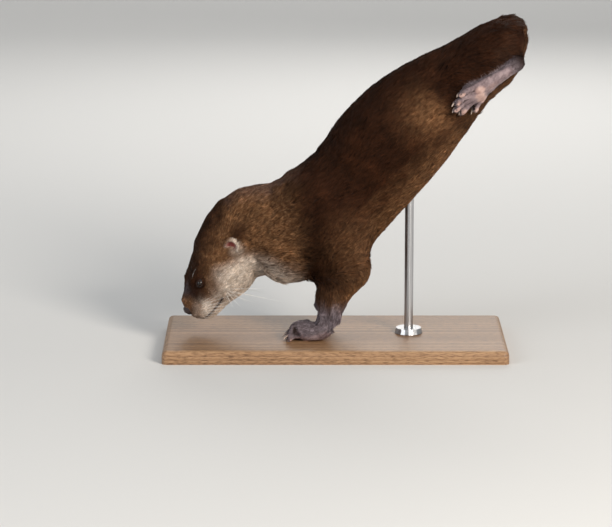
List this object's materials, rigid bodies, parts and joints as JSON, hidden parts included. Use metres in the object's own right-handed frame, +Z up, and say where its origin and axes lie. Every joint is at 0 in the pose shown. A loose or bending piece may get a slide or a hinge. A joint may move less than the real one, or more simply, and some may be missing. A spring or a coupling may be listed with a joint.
{
  "type": "eurasian otter figure",
  "caption": "Life-size otter with wet brown fur, climbing head down with its hindquarters raised, on a flat display stand with a rod to its belly.",
  "frame": {"origin": "centre of the stand's underside", "axes": "+Z up; the otter faces -X, head down, and its left side is towards -Y"},
  "size_m": [0.4881, 0.4548, 0.4465],
  "materials": {
    "coat": "dense dark brown fur, damp and glossy",
    "throat_coat": "paler brown to cream fur",
    "bare_skin": "short-haired or bare skin, slightly damp",
    "claw": "pale horn",
    "eye": "wet and glossy",
    "stand_wood": "satin varnish",
    "stand_steel": "brushed"
  },
  "bodies": {
    "root": {"head": "coat", "neck": "throat_coat", "trunk": "coat", "foreleg_left": "coat", "foreleg_right": "coat", "hindleg_left": "coat", "hindleg_right": "coat", "tail_root": "coat", "tail_middle": "coat", "tail_tip": "coat", "ear_left": "coat", "ear_right": "coat", "eye_left": "eye", "eye_right": "eye", "nose": "bare_skin", "forepaw_left": "bare_skin", "forepaw_right": "bare_skin", "hindfoot_left": "bare_skin", "hindfoot_right": "bare_skin", "forepaw_left_claw_1": "claw", "forepaw_left_claw_2": "claw", "forepaw_left_claw_3": "claw", "forepaw_left_claw_4": "claw", "forepaw_left_claw_5": "claw", "forepaw_right_claw_1": "claw", "forepaw_right_claw_2": "claw", "forepaw_right_claw_3": "claw", "forepaw_right_claw_4": "claw", "forepaw_right_claw_5": "claw", "hindfoot_left_claw_1": "claw", "hindfoot_left_claw_2": "claw", "hindfoot_left_claw_3": "claw", "hindfoot_left_claw_4": "claw", "hindfoot_left_claw_5": "claw", "hindfoot_right_claw_1": "claw", "hindfoot_right_claw_2": "claw", "hindfoot_right_claw_3": "claw", "hindfoot_right_claw_4": "claw", "hindfoot_right_claw_5": "claw", "stand_base": "stand_wood", "stand_collar": "stand_steel", "stand_rod": "stand_steel"}
  },
  "joints": []
}
